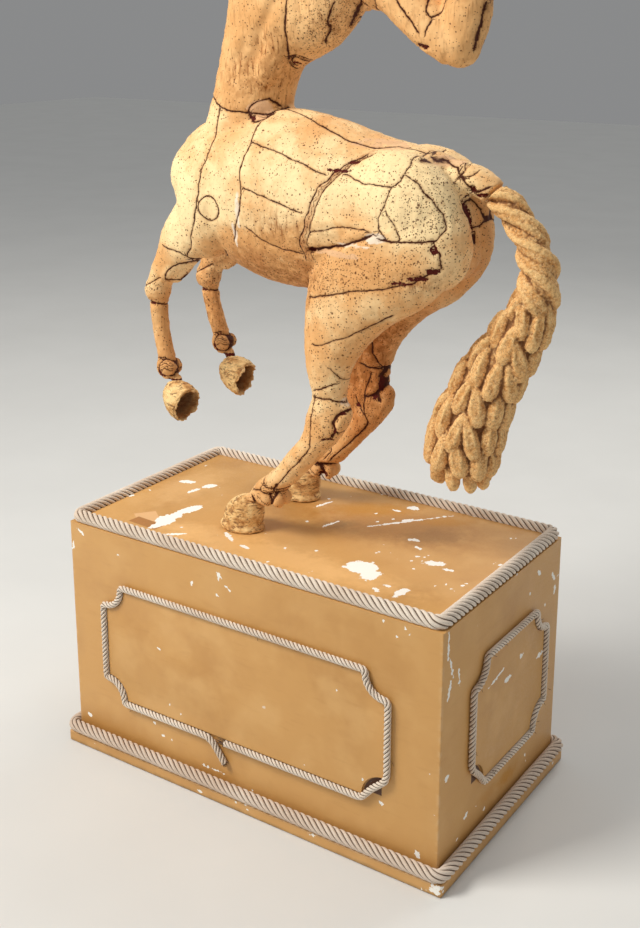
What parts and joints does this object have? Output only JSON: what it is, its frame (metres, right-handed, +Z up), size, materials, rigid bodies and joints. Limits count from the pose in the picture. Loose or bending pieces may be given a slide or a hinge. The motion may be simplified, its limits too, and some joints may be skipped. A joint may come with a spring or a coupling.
{
  "type": "cork centaur sculpture on rope-trimmed plinth",
  "caption": "Carved cork centaur rearing on its hind legs, glued to a painted box plinth with rope trim and raised panels.",
  "frame": {"origin": "centre of the plinth's underside, on the floor", "axes": "+Z up; X along the plinth's length, the horse faces -X and the tail hangs at +X; -Y is the side the human back faces"},
  "size_m": [0.9922, 0.521, 1.7933],
  "materials": {
    "cork": "matt, worn, with dark pores and seams",
    "granular_cork": "matt, rough, flecked with brown",
    "painted_board": "satin ochre paint, chipped to white",
    "rope": "matt natural fibre"
  },
  "bodies": {
    "root": {"centaur_figure": "cork", "tail": "granular_cork", "plinth_box": "painted_board", "plinth_foot_board": "painted_board", "front_panel": "painted_board", "back_panel": "painted_board", "left_end_panel": "painted_board", "right_end_panel": "painted_board", "top_rope": "rope", "foot_rope": "rope", "front_panel_rope": "rope", "back_panel_rope": "rope", "left_end_panel_rope": "rope", "right_end_panel_rope": "rope"}
  },
  "joints": []
}
